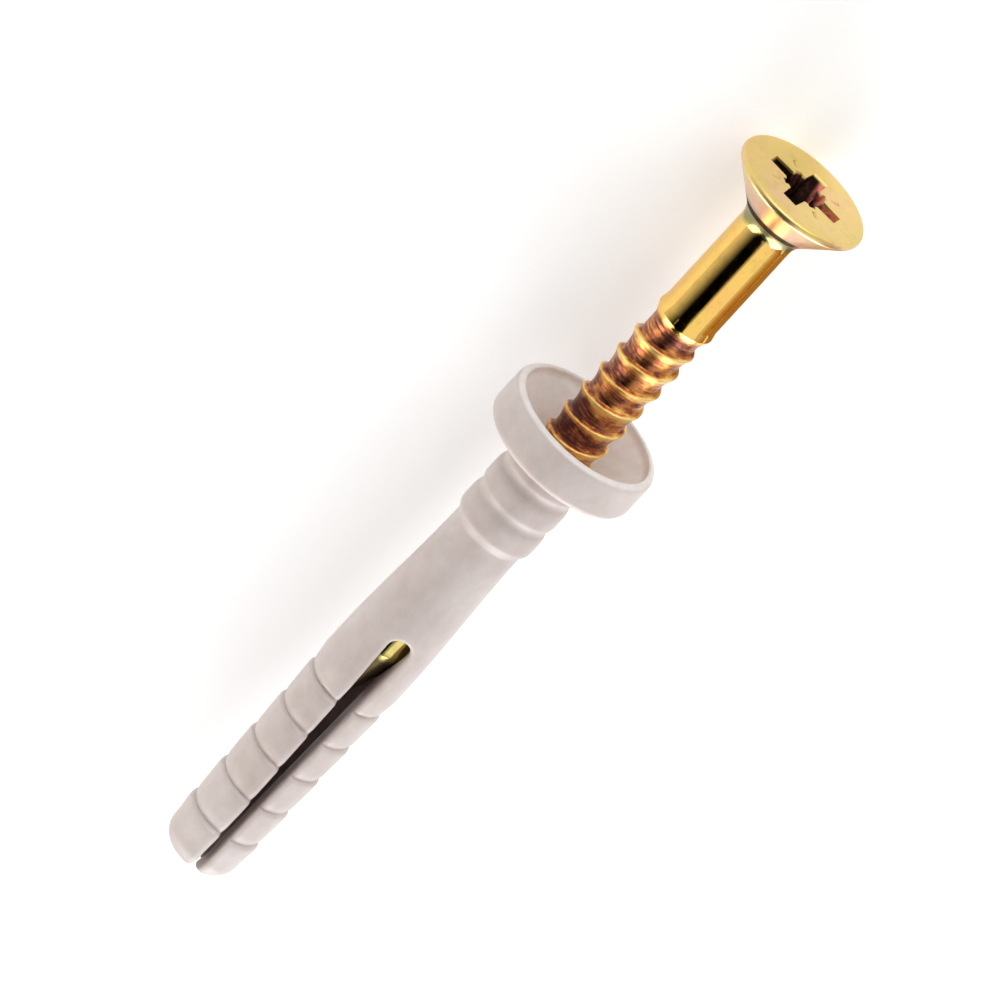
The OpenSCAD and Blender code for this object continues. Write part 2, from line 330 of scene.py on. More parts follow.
def slot_heights():
    """Heights at which the slot's straight sides and the legs are drawn, closest at the barbs."""
    tip = [TIP_ROUND * (1 - math.cos(a)) for a in spread(0, math.pi / 2, TIP_STEPS)]
    heights = set(tip)
    for i in range(BARB_COUNT):
        heights.update(spread(barb_z(i) - BARB_SOFT, barb_z(i) + BARB_SOFT, BARB_STEPS))
        after = barb_z(i) + BARB_PITCH if i < BARB_COUNT - 1 else LAND_Z
        heights.update(spread(barb_z(i) + BARB_SOFT, after - BARB_SOFT, RAMP_STEPS)[1:-1])
    heights.update(spread(TIP_ROUND, barb_z(0) - BARB_SOFT, FIRST_RAMP_STEPS)[1:-1])
    heights.update(spread(LAND_Z, SLOT_LENGTH, LAND_STEPS))
    heights.update((NARROW_Z, NARROW_TOP_Z))
    return sorted(round(z, 6) for z in heights)


def slot_layers(z):
    """How the slot's mouth runs from the outside to the bore, as (offset of its outline, share of
    the way in, step in): a round outer edge, the flat side and a small round inner edge."""
    wall = leg_r(z) - hollow_r(z)
    outer = min(SLOT_OUTER_ROUND, OUTER_WALL_SHARE * wall)
    inner = min(SLOT_INNER_ROUND, INNER_WALL_SHARE * wall)
    layers = []
    for a in spread(0, math.pi / 2, OUTER_EDGE_STEPS):
        layers.append((outer * (1 - math.sin(a)), outer * (1 - math.cos(a))))
    for share in FLAT_SIDE_SHARES:
        layers.append((0, outer + share * (wall - outer - inner)))
    for a in spread(math.pi / 2, 0, INNER_EDGE_STEPS):
        layers.append((inner * (1 - math.sin(a)), wall - inner * (1 - math.cos(a))))
    return layers


def slot_rows():
    """Rows of points (y, z, radius) from the outside to the bore, up one side of the slot and over
    its round end to the middle."""
    rows = []
    for z in slot_heights():
        rows.append([(slot_half_w(z) + o, z, leg_r(z) - d) for o, d in slot_layers(z)])
    for a in spread(0, math.pi / 2, SLOT_END_STEPS)[1:]:
        row = []
        for o, d in slot_layers(SLOT_LENGTH):
            reach = SLOT_END_W / 2 + o
            z = SLOT_LENGTH + reach * math.sin(a)
            row.append((reach * math.cos(a), z, leg_r(z) - d))
        rows.append(row)
    return rows


def shell_row(bm, r, z, y_edge, side):
    """Half a ring on one side of the slot's plane, kept clear of the slot by y_edge."""
    clear = math.asin(min(1, y_edge / r))
    angles = spread(clear, math.pi - clear, HALF_COLUMNS)
    return [bm.verts.new((r * math.cos(a), side * r * math.sin(a), z)) for a in angles]


def band_r(z):
    """Radius of the rings and the neck above them before they are softened: each ring has a short
    round foot and a long round top that meets the barrel where the next ring starts."""
    if z < RINGS_Z:
        return leg_r(z)
    in_neck = z > NECK_FOOT_Z
    foot_z = NECK_FOOT_Z if in_neck else RINGS_Z + (z - RINGS_Z) // RING_PITCH * RING_PITCH
    from_foot = z - foot_z
    r = RING_R
    if from_foot < RING_FOOT_ROUND:
        rise = RING_FOOT_ROUND ** 2 - (RING_FOOT_ROUND - from_foot) ** 2
        r = RING_R - RING_FOOT_ROUND + math.sqrt(rise)
    run = math.sqrt(RING_TOP_ROUND ** 2 - (RING_TOP_ROUND - RING_R + BARREL_R) ** 2)
    over = from_foot - (RING_PITCH - run)
    if over > 0 and not in_neck:
        r = RING_R - RING_TOP_ROUND + math.sqrt(RING_TOP_ROUND ** 2 - over ** 2)
    return max(BARREL_R, r)


def soft_band_r(z):
    """Radius of the rings with their edges and grooves softened."""
    shifts = spread(-RING_SOFT, RING_SOFT, RING_SOFT_STEPS)
    return sum(band_r(z + shift) for shift in shifts) / len(shifts)


def upper_profile():
    """Points (r, z) from above the slot over the barrel, rings, collar and cup down to the bore."""
    start = SLOT_LENGTH + SLOT_END_W / 2 + 2 * SLOT_OUTER_ROUND
    neck_middle = COLLAR_Z - RING_NECK_H / 2
    barrel_top = RINGS_Z - RING_SOFT
    points = [(leg_r(z), z) for z in spread(start, barrel_top, BARREL_STEPS)[:-1]]
    points += [(soft_band_r(z), z) for z in spread(barrel_top, neck_middle, RING_STEPS)[:-1]]
    points += filleted([
        (RING_R, neck_middle, 0),
        (RING_R, COLLAR_Z, COLLAR_FOOT_ROUND),
        (COLLAR_R, COLLAR_Z, COLLAR_ROUND),
        (COLLAR_R, PLUG_LENGTH, RIM_ROUND),
        (CUP_R, PLUG_LENGTH, CUP_EDGE_ROUND),
        (CUP_R, CUP_CONE_Z, CUP_FLOOR_ROUND),
        (BORE_R, CUP_Z, MOUTH_ROUND),
        (BORE_R, CUP_Z - MOUTH_RUN, 0),
    ], COLLAR_ARC_STEPS)
    points += [(BORE_R, z) for z in spread(CUP_Z - MOUTH_RUN, start, BORE_STEPS)[1:]]
    return points


def plug_mesh():
    """The plug as one closed shell: two slotted legs, and the full rings above the slot."""
    bm = bmesh.new()
    rows = slot_rows()
    for side in (1, -1):
        outer = [shell_row(bm, row[0][2], row[0][1], row[0][0], side) for row in rows]
        inner = [shell_row(bm, row[-1][2], row[-1][1], row[-1][0], side) for row in rows]
        profile = upper_profile()
        upper = [shell_row(bm, r, z, 0, side) for r, z in profile]
        chain = outer + upper + inner[::-1]
        for row_a, row_b in zip(chain, chain[1:]):
            bridge(bm, row_a, row_b)
        tip_loop = list(outer[0])
        for end in (1, -1):
            sheet = []
            for row in rows:
                sheet.append([
                    bm.verts.new((end * math.sqrt(r * r - y * y), side * y, z)) for y, z, r in row
                ])
            for row_a, row_b in zip(sheet, sheet[1:]):
                bridge(bm, row_a, row_b)
            if end == 1:
                first_sheet = sheet[0]
            else:
                tip_loop += sheet[0][1:-1] + inner[0][::-1] + first_sheet[::-1][1:-1]
        bm.faces.new(tip_loop)
    bmesh.ops.remove_doubles(bm, verts=bm.verts, dist=WELD_MM)
    return bm


# Nail screw

def lathe(bm, profile, columns):
    """Rings of vertices round the axis through points (r, z), bridged one after the other."""
    rings = []
    for r, z in profile:
        ring = []
        for k in range(columns):
            a = 2 * math.pi * k / columns + THREAD_TURN
            ring.append(bm.verts.new((r * math.cos(a), r * math.sin(a), z)))
        rings.append(ring)
    for low, high in zip(rings, rings[1:]):
        bridge(bm, low + low[:1], high + high[:1])
    return rings


def crest_share(q):
    """Height of the thread over one pitch: a gentle flank, a narrow crest and a steep flank."""
    if q < GENTLE_END:
        return (q / GENTLE_END) ** 2
    if q < CREST_END:
        return 1.0
    return 1 - ease((q - CREST_END) / (ROOT_AGAIN - CREST_END))


def thread_mesh(bm, foot_ring, crown_ring):
    """The helical strip of the thread between a ring at its foot and a ring at its crown."""
    turns = (SHANK_Z - THREAD_Z) / THREAD_PITCH - 1
    last = math.floor(turns * NAIL_COLUMNS)
    strip = []
    for s in range(last + 1):
        turn = s / NAIL_COLUMNS
        left = (last - s) / NAIL_COLUMNS
        fade = ease(min(turn / FADE_IN_TURNS, left / FADE_OUT_TURNS))
        fade *= 1 + CREST_UNEVEN * noise.noise(Vector((turn * UNEVEN_PER_TURN, 0, 0)))
        drift = CREST_DRIFT * noise.noise(Vector((turn * DRIFT_PER_TURN, DRIFT_SEED, 0)))
        a = THREAD_TURN + 2 * math.pi * turn
        column = []
        for q in FLANK_STEPS:
            r = ROOT_R + THREAD_DEPTH * fade * crest_share(q)
            z = THREAD_Z + THREAD_PITCH * (turn + q + drift * crest_share(q))
            column.append(bm.verts.new((r * math.cos(a), r * math.sin(a), z)))
        strip.append(column)
    for s in range(last):
        here, there = list(strip[s]), list(strip[s + 1])
        if s + NAIL_COLUMNS < last:
            here.append(strip[s + NAIL_COLUMNS][0])
            there.append(strip[s + 1 + NAIL_COLUMNS][0])
        elif s + NAIL_COLUMNS == last:
            here.append(strip[last][0])
        bridge(bm, here[:len(there)], there[:len(here)])
    close_foot(bm, strip, foot_ring)
    close_crown(bm, strip, crown_ring, last)


def close_foot(bm, strip, ring):
    """Fills between the ring and the first turn of the strip."""
    for k in range(NAIL_COLUMNS - 1):
        bm.faces.new((ring[k], ring[k + 1], strip[k + 1][0], strip[k][0]))
    step = [strip[0][f] for f in range(len(FLANK_STEPS))]
    bm.faces.new([ring[-1], ring[0]] + step + [strip[NAIL_COLUMNS][0], strip[NAIL_COLUMNS - 1][0]])


def close_crown(bm, strip, ring, last):
    """Fills between the last turn of the strip and the ring."""
    first = last - NAIL_COLUMNS
    turn = [strip[s][-1] for s in range(first, last + 1)]
    place = first % NAIL_COLUMNS
    crown = [ring[(place + k) % NAIL_COLUMNS] for k in range(NAIL_COLUMNS + 1)]
    for k in range(1, NAIL_COLUMNS):
        bm.faces.new((turn[k], turn[k + 1], crown[k + 1], crown[k]))
    step = [strip[last][f] for f in reversed(range(len(FLANK_STEPS)))]
    bm.faces.new([turn[0], turn[1], crown[1], crown[0]] + step)


def nail_mesh():
    """Point, thread, tapered shank end, shank and countersunk head, closed at both ends."""
    bm = bmesh.new()
    point = lathe(bm, filleted([
        (POINT_R / 2, NAIL_TIP_Z, 0),
        (POINT_R, NAIL_TIP_Z, POINT_TIP_ROUND),
        (ROOT_R, THREAD_Z - POINT_END_GAP, POINT_END_ROUND),
        (ROOT_R, THREAD_Z, 0),
    ], POINT_ARC_STEPS), NAIL_COLUMNS)
    bm.faces.new(point[0][::-1])
    body = filleted([
        (ROOT_R, SHANK_Z, 0),
        (LIP_R, SHANK_Z + TAPER_L, LIP_ROUND),
        (SHANK_R, SHANK_Z + TAPER_L + LIP_RUN, LIP_END_ROUND),
        (SHANK_R, NECK_Z, NECK_ROUND),
        (HEAD_R - HEAD_RIM_DRAFT, HEAD_TOP_Z - HEAD_RIM_H, HEAD_ROUND),
        (HEAD_R, HEAD_TOP_Z, HEAD_ROUND),
        (0, HEAD_TOP_Z, 0),
    ], BODY_ARC_STEPS)
    head = lathe(bm, body[:-1], NAIL_COLUMNS)
    bm.faces.new(head[-1])
    thread_mesh(bm, point[-1], head[0])
    return bm


def blade(top, floor, depth, w, end_w):
    """A blade of the recess, widest at its middle, which tapers from its span at the top of the head
    to its span at the floor."""
    bm = bmesh.new()
    slope = (top - floor) / depth
    layers = []
    for span, z in ((floor, -depth), (top + slope * CUT_ABOVE, CUT_ABOVE)):
        plan = ((-1, -end_w), (0, -w), (1, -end_w), (1, end_w), (0, w), (-1, end_w))
        layers.append([bm.verts.new((x * span / 2, y / 2, z)) for x, y in plan])
    low, high = layers
    bm.faces.new(low[::-1])
    bm.faces.new(high)
    bridge(bm, low + low[:1], high + high[:1])
    return bm


def recess_cutters():
    """The pieces cut out of the head: a cross, a cone at its middle, four ribs and four ticks."""
    place = Matrix.Translation((0, 0, HEAD_TOP_Z)) @ Matrix.Rotation(CROSS_TURN, 4, "Z")
    cutters = []
    core = bmesh.new()
    widen = (CROSS_CORE_R - CROSS_CORE_FLOOR_R) / CROSS_DEPTH
    bmesh.ops.create_cone(
        core, cap_ends=True, segments=CORE_COLUMNS, radius1=CROSS_CORE_FLOOR_R,
        radius2=CROSS_CORE_R + widen * CUT_ABOVE, depth=CROSS_DEPTH + CUT_ABOVE,
        matrix=Matrix.Translation((0, 0, (CUT_ABOVE - CROSS_DEPTH) / 2)))
    cutters.append(core)
    for quarter in range(2):
        for turn, sizes in (
            (quarter * 90, (CROSS_SPAN, CROSS_FLOOR_SPAN, CROSS_DEPTH, CROSS_ARM_W, CROSS_END_W)),
            (quarter * 90 + 45, (RIB_SPAN, RIB_FLOOR_SPAN, RIB_DEPTH, RIB_W, RIB_W)),
        ):
            arm = blade(*sizes)
            arm.transform(Matrix.Rotation(math.radians(turn), 4, "Z"))
            cutters.append(arm)
    for quarter in range(4):
        tick = bmesh.new()
        side = TICK_W / math.sqrt(2)
        shape = Matrix.Rotation(math.radians(45 + 90 * quarter), 4, "Z")
        shape @= Matrix.Translation((TICK_FROM_MIDDLE, 0, 0)) @ Matrix.Rotation(math.pi / 4, 4, "X")
        bmesh.ops.create_cube(tick, size=1, matrix=shape @ Matrix.Diagonal((TICK_L, side, side, 1)))
        cutters.append(tick)
    for cutter in cutters:
        cutter.transform(place)
    return cutters


def as_object(name, bm):
    """A plain object of a bmesh, in the scene."""
    mesh = bpy.data.meshes.new(name)
    bm.to_mesh(mesh)
    bm.free()
    thing = bpy.data.objects.new(name, mesh)
    bpy.context.scene.collection.objects.link(thing)
    return thing


def carved(bm, cutters):
    """The mesh with the cutters taken out of it one after the other."""
    body = as_object("uncarved", bm)
    tools = [as_object("cutter", cutter) for cutter in cutters]
    for tool in tools:
        cut = body.modifiers.new("cut", "BOOLEAN")
        cut.object = tool
        cut.operation = "DIFFERENCE"
        cut.solver = "EXACT"
    result = bmesh.new()
    result.from_object(body, bpy.context.evaluated_depsgraph_get())
    for thing in [body] + tools:
        mesh = thing.data
        bpy.data.objects.remove(thing)
        bpy.data.meshes.remove(mesh)
    return result


def soften_recess(bm):
    """Small rounds along the upper edges of the recess."""
    top = HEAD_TOP_Z - TOP_TOLERANCE
    reach = HEAD_R - 2 * HEAD_ROUND
    edges = []
    for edge in bm.edges:
        on_top = all(v.co.z > top and v.co.xy.length < reach for v in edge.verts)
        if on_top and len(edge.link_faces) == 2 and edge.calc_face_angle() > RECESS_SHARP:
            edges.append(edge)
    bmesh.ops.bevel(
        bm, geom=edges, offset=RECESS_EDGE_ROUND, offset_type="OFFSET", segments=RECESS_EDGE_STEPS,
        profile=0.5, affect="EDGES", clamp_overlap=True)


# Materials

# Where the finishes, the painted shade and the painted light change, and how far light goes into the
# nylon, in millimetres
SLOT_SHADE_FULL_R = 1.2
SLOT_SHADE_END_R = 2.3
SLOT_SHADE_FADE = 2.0
CUP_FADE = 0.3
LIGHT_REACH = 0.6
BAND_WANDER = 0.35
RUST_AND_SHADE_NONE_BELOW_CUP = 8.0
RUST_AND_SHADE_FULL_BELOW_CUP = 3.0
SATIN_POINT_FADE = 0.6
SATIN_NECK_FADE = 0.4
RECESS_SHADE_FULL_DEPTH = 0.2
RECESS_SHADE_NONE_DEPTH = 0.04
RECESS_SHADE_PAST_ARMS = 0.05
RECESS_SHADE_EDGE = 0.1
GLINT_FROM_MIDDLE = 0.9
GLINT_FADE = 0.4

# Where the thread's darkening, partly rusted and partly painted shade, starts to lighten up its
# flank and to fade along the taper, as shares of the flank's and the taper's heights
LIGHTENS_UP_FLANK = 0.3
FADES_UP_TAPER = 0.3

# What dirt and wear add to the roughness of the zinc
DULL_THREAD = 0.2
DULL_HEAD = 0.2
DULL_RECESS = 0.3
DULL_POINT = 0.3


class Nodes:
    """Short ways to add and join a material's nodes."""

    def __init__(self, name):
        self.material = bpy.data.materials.new(name)
        self.material.use_nodes = True
        self.tree = self.material.node_tree
        self.shader = self.tree.nodes["Principled BSDF"]
        self.place = self.add("ShaderNodeTexCoord").outputs["Object"]

    def add(self, kind, **settings):
        """A new node with these settings."""
        node = self.tree.nodes.new(kind)
        for key, value in settings.items():
            setattr(node, key, value)
        return node

    def join(self, output, socket):
        """A link from one node to another."""
        self.tree.links.new(output, socket)

    def noise(self, per_mm, detail=4.0, roughness=0.55, stretch=(1, 1, 1)):
        """Noise between about 0 and 1 with so many waves per millimetre."""
        scale = self.add("ShaderNodeMapping", vector_type="POINT")
        scale.inputs["Scale"].default_value = stretch
        self.join(self.place, scale.inputs["Vector"])
        texture = self.add("ShaderNodeTexNoise")
        texture.inputs["Scale"].default_value = per_mm / MM
        texture.inputs["Detail"].default_value = detail
        texture.inputs["Roughness"].default_value = roughness
        self.join(scale.outputs["Vector"], texture.inputs["Vector"])
        return texture.outputs["Fac"]

    def ramp(self, value, stops):
        """Colours by value; stops are (value, colour)."""
        ramp = self.add("ShaderNodeValToRGB")
        elements = ramp.color_ramp.elements
        while len(elements) < len(stops):
            elements.new(0.5)
        for element, (at, colour) in zip(elements, stops):
            element.position = at
            element.color = (*colour, 1)
        self.join(value, ramp.inputs["Fac"])
        return ramp.outputs["Color"]

    def mapped(self, value, low, high, to_low, to_high, smooth=False):
        """A value mapped from one range to another, held at its ends."""
        node = self.add("ShaderNodeMapRange")
        node.interpolation_type = "SMOOTHSTEP" if smooth else "LINEAR"
        ends = {"From Min": low, "From Max": high, "To Min": to_low, "To Max": to_high}
        for name, number in ends.items():
            node.inputs[name].default_value = number
        self.join(value, node.inputs["Value"])
        return node.outputs["Result"]

    def mixed(self, share, colour_a, colour_b, blend="MIX"):
        """A share of the second colour over the first."""
        node = self.add("ShaderNodeMix", data_type="RGBA", blend_type=blend)
        first_colour, second_colour, mixed_colour = 6, 7, 2
        self.join(share, node.inputs["Factor"])
        self.join(colour_a, node.inputs[first_colour])
        self.join(colour_b, node.inputs[second_colour])
        return node.outputs[mixed_colour]

    def maths(self, operation, a, b):
        """A sum on two values, each a number or another node's output."""
        node = self.add("ShaderNodeMath", operation=operation)
        for value, socket in ((a, node.inputs[0]), (b, node.inputs[1])):
            if isinstance(value, (int, float)):
                socket.default_value = value
            else:
                self.join(value, socket)
        return node.outputs["Value"]

    def from_axis(self):
        """Distance from the fixing's axis and distance along it from the plug's tip, in metres."""
        arm = self.add("ShaderNodeVectorMath", operation="SUBTRACT")
        arm.inputs[1].default_value = TIP
        self.join(self.place, arm.inputs[0])
        turned = self.add("ShaderNodeVectorMath", operation="CROSS_PRODUCT")
        turned.inputs[1].default_value = AXIS
        self.join(arm.outputs["Vector"], turned.inputs[0])
        length = self.add("ShaderNodeVectorMath", operation="LENGTH")
        self.join(turned.outputs["Vector"], length.inputs[0])
        along = self.add("ShaderNodeVectorMath", operation="DOT_PRODUCT")
        along.inputs[1].default_value = AXIS
        self.join(arm.outputs["Vector"], along.inputs[0])
        return length.outputs["Value"], along.outputs["Value"]

    def bump(self, height, distance_mm, strength, before=None):
        """Fine relief, on top of the relief before it."""
        node = self.add("ShaderNodeBump")
        node.inputs["Strength"].default_value = strength
        node.inputs["Distance"].default_value = distance_mm * MM
        self.join(height, node.inputs["Height"])
        if before is not None:
            self.join(before, node.inputs["Normal"])
        return node.outputs["Normal"]


def nylon_material():
    """Off-white moulded nylon: cloudy, faintly pink, with a soft sheen and a fine moulded grain;
    with painted shade down between the legs, and painted light that makes it paler in the cup."""
    n = Nodes("nylon_moulded")
    cloud = n.noise(0.22, detail=3)
    mottle = n.noise(1.6, detail=5, roughness=0.6)
    grain = n.noise(9, detail=3, roughness=0.6)
    tone = n.ramp(cloud, (
        (0.3, (0.665, 0.58, 0.55)),
        (0.5, (0.72, 0.642, 0.612)),
        (0.7, (0.77, 0.712, 0.684))))
    patch = n.ramp(mottle, ((0.3, (0.90, 0.875, 0.875)), (0.65, (1, 1, 1))))
    share = n.mapped(grain, 0, 1, 0.55, 0.75)
    clean = n.mixed(share, tone, patch, "MULTIPLY")
    # Painted shade: the colour is darkened in the bore and the slot down between the legs.
    painted_slot_shade = n.ramp(mottle, ((0.35, (0.25, 0.18, 0.165)), (0.65, (0.33, 0.25, 0.235))))
    radius, height = n.from_axis()
    inside = n.mapped(radius, SLOT_SHADE_FULL_R * MM, SLOT_SHADE_END_R * MM, 1, 0, smooth=True)
    in_legs = n.mapped(height, SLOT_LENGTH * MM, (SLOT_LENGTH + SLOT_SHADE_FADE) * MM, 1, 0)
    # Painted light: the inside of the cup is made paler in the colour.
    above_cone = n.maths("SUBTRACT", height, radius)
    cone = (CUP_Z - BORE_R) * MM
    in_cup = n.mapped(above_cone, cone - CUP_FADE * MM, cone, 0, 1, smooth=True)
    painted_cup_light = n.ramp(mottle, ((0.35, (0.84, 0.78, 0.75)), (0.65, (0.90, 0.86, 0.84))))
    walls_and_cup_light = n.mixed(in_cup, clean, painted_cup_light)
    between_legs = n.maths("MULTIPLY", inside, in_legs)
    n.join(n.mixed(between_legs, walls_and_cup_light, painted_slot_shade), n.shader.inputs["Base Color"])
    n.join(n.mapped(mottle, 0.3, 0.7, 0.36, 0.5), n.shader.inputs["Roughness"])
    soft = n.bump(mottle, 0.02, 0.35)
    n.join(n.bump(grain, 0.006, 0.5, soft), n.shader.inputs["Normal"])
    n.shader.inputs["IOR"].default_value = 1.53
    n.shader.inputs["Subsurface Weight"].default_value = 0.45
    n.shader.inputs["Subsurface Radius"].default_value = (1.0, 0.8, 0.7)
    n.shader.inputs["Subsurface Scale"].default_value = LIGHT_REACH * MM
    n.shader.inputs["Sheen Weight"].default_value = 0.04
    return n.material


def zinc_material():
    """Yellow-passivated zinc: glossy gold that drifts between pink and green, paler on the head;
    redder and darker down in the thread, partly rusted and partly painted shade, with painted light
    on one side; painted shade on the point, in part of the neck's dark green band and in the recess;
    and a painted pink-red glint in one arm of the recess."""
    n = Nodes("yellow_zinc")
    drift = n.noise(0.33, detail=2)
    stain = n.noise(1.4, detail=5, roughness=0.62)
    grain = n.noise(11, detail=3, roughness=0.6)
    radius, height = n.from_axis()
    wander = n.mapped(drift, 0.25, 0.75, -BAND_WANDER * MM, BAND_WANDER * MM)
    up_nail = n.mapped(n.maths("ADD", height, wander), NAIL_TIP_Z * MM, HEAD_TOP_Z * MM, 0, 1)
    by_height = (
        # Painted shade: the point, which sits in the shade of the slot, is coloured dark bronze.
        (NAIL_TIP_Z, (0.24, 0.18, 0.085)),
        (THREAD_Z - 0.5, (0.15, 0.11, 0.05)),
        (THREAD_Z + 0.3, (0.80, 0.66, 0.22)),
        (CUP_Z - 6, (0.84, 0.64, 0.20)),
        (CUP_Z, (0.90, 0.56, 0.15)),
        (NECK_Z - 1, (0.91, 0.585, 0.15)),
        (NECK_Z - 0.45, (0.84, 0.60, 0.18)),
        # The dark green band round the neck is partly the coating's green tint and partly painted
        # shade.
        (NECK_Z - 0.15, (0.30, 0.29, 0.12)),
        (NECK_Z + 0.6, (0.30, 0.26, 0.13)),
        (NECK_Z + 1.1, (0.78, 0.52, 0.36)),
        (HEAD_TOP_Z - HEAD_RIM_H, (0.82, 0.58, 0.33)),
        (HEAD_TOP_Z, (0.77, 0.565, 0.19)))
    stops = [((z - NAIL_TIP_Z) / NAIL_LENGTH, colour) for z, colour in by_height]
    bands = n.ramp(up_nail, stops)
    hue = n.ramp(drift, ((0.3, (1, 0.88, 1)), (0.5, (1, 1, 1)), (0.7, (0.93, 1, 0.88))))
    cloudy = n.ramp(stain, ((0.25, (0.86, 0.80, 0.78)), (0.5, (1, 1, 1)), (0.8, (1, 0.98, 0.9))))
    most = n.mapped(grain, 0, 1, 0.65, 0.85)
    bright = n.mixed(most, n.mixed(most, bands, hue, "MULTIPLY"), cloudy, "MULTIPLY")
    marks = n.noise(1.2, detail=4, roughness=0.7, stretch=(5, 0.7, 0.7))
    # The thread is coloured darker down towards its roots and lighter towards its crests: partly
    # rusted, partly painted shade in the grooves.
    flank_r = ROOT_R + LIGHTENS_UP_FLANK * THREAD_DEPTH
    crest = n.mapped(radius, flank_r * MM, THREAD_R * MM, 0.04, 0.7)
    stained = n.mapped(stain, 0.2, 0.8, -0.3, 0.45)
    marked = n.mapped(marks, 0.2, 0.8, -0.4, 0.45)
    stir = n.maths("ADD", stained, marked)
    stir = n.maths("ADD", stir, n.mapped(drift, 0.3, 0.7, -0.13, 0.27))
    # Painted light: the thread's colour is lighter on the side away from LEVEL, where the lamps
    # light it most.
    aside = n.add("ShaderNodeVectorMath", operation="DOT_PRODUCT")
    aside.inputs[1].default_value = -LEVEL
    n.join(n.place, aside.inputs[0])
    painted_side_light = n.mapped(aside.outputs["Value"], -THREAD_R * MM, THREAD_R * MM, -0.13, 0.22)
    stir = n.maths("ADD", stir, painted_side_light)
    thread_rust_and_shade = n.ramp(n.maths("ADD", crest, stir), (
        (0.0, (0.10, 0.037, 0.03)),
        (0.2, (0.31, 0.10, 0.052)),
        (0.42, (0.58, 0.23, 0.07)),
        (0.66, (0.84, 0.48, 0.13)),
        (0.95, (0.93, 0.68, 0.25))))
    taper_z = SHANK_Z + FADES_UP_TAPER * TAPER_L
    lip_z = SHANK_Z + TAPER_L
    below_lip = n.mapped(height, taper_z * MM, lip_z * MM, 1, 0, smooth=True)
    plain_thread_z = CUP_Z - RUST_AND_SHADE_NONE_BELOW_CUP
    shaded_thread_z = CUP_Z - RUST_AND_SHADE_FULL_BELOW_CUP
    above_bore = n.mapped(height, plain_thread_z * MM, shaded_thread_z * MM, 0, 1, smooth=True)
    in_thread = n.maths("MULTIPLY", below_lip, above_bore)
    plain = n.mixed(in_thread, bright, thread_rust_and_shade)
    # Painted shade: the recess is coloured near black and dark brown.
    shade_full_z = HEAD_TOP_Z - RECESS_SHADE_FULL_DEPTH
    bright_z = HEAD_TOP_Z - RECESS_SHADE_NONE_DEPTH
    sunk = n.mapped(height, shade_full_z * MM, bright_z * MM, 1, 0, smooth=True)
    shade_full_r = CROSS_SPAN / 2 + RECESS_SHADE_PAST_ARMS
    inner = n.mapped(radius, shade_full_r * MM, (shade_full_r + RECESS_SHADE_EDGE) * MM, 1, 0)
    floor_z = HEAD_TOP_Z - CROSS_DEPTH
    in_head = n.mapped(height, (floor_z - RECESS_SHADE_EDGE) * MM, floor_z * MM, 0, 1)
    in_recess = n.maths("MULTIPLY", n.maths("MULTIPLY", sunk, inner), in_head)
    recess_painted_shade = n.ramp(stain, (
        (0.40, (0.012, 0.007, 0.006)),
        (0.55, (0.03, 0.014, 0.01)),
        (0.70, (0.16, 0.045, 0.03))))
    # Painted highlight: a pink-red glint painted into one arm of the recess.
    painted_glint = n.ramp(stain, (
        (0.38, (0.12, 0.03, 0.02)),
        (0.5, (0.75, 0.2, 0.2)),
        (0.6, (0.85, 0.42, 0.2))))
    glint_full = GLINT_FROM_MIDDLE + GLINT_FADE
    in_one_arm = n.mapped(
        aside.outputs["Value"], GLINT_FROM_MIDDLE * MM, glint_full * MM, 0, 1, smooth=True)
    recess_shade_and_glint = n.mixed(in_one_arm, recess_painted_shade, painted_glint)
    n.join(n.mixed(in_recess, plain, recess_shade_and_glint), n.shader.inputs["Base Color"])
    n.shader.inputs["Metallic"].default_value = 1
    worn = n.mapped(stain, 0.3, 0.7, 0.07, 0.15)
    satin_z = NECK_Z + SATIN_NECK_FADE
    on_head = n.mapped(height, (NECK_Z - SATIN_NECK_FADE) * MM, satin_z * MM, 0, DULL_HEAD)
    dirt = n.maths("ADD", n.maths("MULTIPLY", in_thread, DULL_THREAD), on_head)
    dirt = n.maths("ADD", dirt, n.maths("MULTIPLY", in_recess, DULL_RECESS))
    point_z = THREAD_Z - SATIN_POINT_FADE
    on_point = n.mapped(height, point_z * MM, THREAD_Z * MM, DULL_POINT, 0)
    dirt = n.maths("ADD", dirt, on_point)
    n.join(n.maths("ADD", worn, dirt), n.shader.inputs["Roughness"])
    soft = n.bump(stain, 0.006, 0.3)
    scored = n.bump(n.maths("MULTIPLY", marks, in_thread), 0.05, 0.6, soft)
    n.join(n.bump(grain, 0.0012, 0.4, scored), n.shader.inputs["Normal"])
    return n.material


def floor_material():
    """White table: plain diffuse, with some light of its own for the eye and for reflections, so
    that it looks white while it keeps the shadow."""
    material = bpy.data.materials.new("white_table")
    material.use_nodes = True
    tree = material.node_tree
    shader = tree.nodes["Principled BSDF"]
    shader.inputs["Base Color"].default_value = (0.9, 0.9, 0.9, 1)
    shader.inputs["Roughness"].default_value = 1
    shader.inputs["Specular IOR Level"].default_value = 0
    shader.inputs["Emission Color"].default_value = (1, 1, 1, 1)
    rays = tree.nodes.new("ShaderNodeLightPath")
    seen = rays.outputs["Is Camera Ray"]
    for name in ("Is Glossy Ray", "Is Transmission Ray"):
        either = tree.nodes.new("ShaderNodeMath")
        either.operation = "MAXIMUM"
        tree.links.new(seen, either.inputs[0])
        tree.links.new(rays.outputs[name], either.inputs[1])
        seen = either.outputs["Value"]
    amount = tree.nodes.new("ShaderNodeMath")
    amount.operation = "MULTIPLY"
    amount.inputs[1].default_value = FLOOR_GLOW
    tree.links.new(seen, amount.inputs[0])
    tree.links.new(amount.outputs["Value"], shader.inputs["Emission Strength"])
    return material


# The pieces

